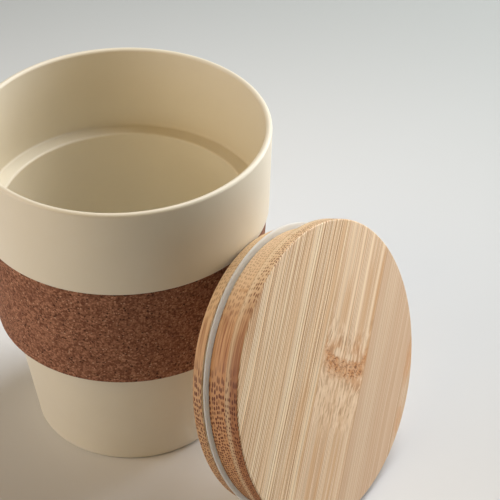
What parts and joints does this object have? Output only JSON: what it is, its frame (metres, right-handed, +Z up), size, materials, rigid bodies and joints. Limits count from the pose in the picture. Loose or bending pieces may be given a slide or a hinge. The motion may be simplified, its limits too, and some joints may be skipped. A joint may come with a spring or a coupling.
{
  "type": "travel cup with lid",
  "caption": "Rigid tapered travel cup with a stepped mouth and a cork grip sleeve; its turned bamboo plug lid with a silicone fin seal leans on the cup's side.",
  "frame": {"origin": "centre of the cup's flat base, on the table", "axes": "+Z up along the cup's axis; +X from the cup's axis towards the lid that leans on its side"},
  "size_m": [0.1335, 0.0922, 0.1065],
  "materials": {
    "cream_bioplastic": "smooth matte moulding",
    "cork": "sanded agglomerated cork",
    "bamboo": "sanded laminated bamboo, satin",
    "silicone": "translucent, satin"
  },
  "bodies": {
    "cup": {"cup_body": "cream_bioplastic", "cork_sleeve": "cork"},
    "lid": {"bamboo_lid": "bamboo", "seal_ring": "silicone"}
  },
  "joints": [
    {"name": "lid_lift", "type": "slide", "parent": "cup", "child": "lid", "axis": [0.9563, 0, 0.2924], "range_m": [0, 0.12]}
  ]
}
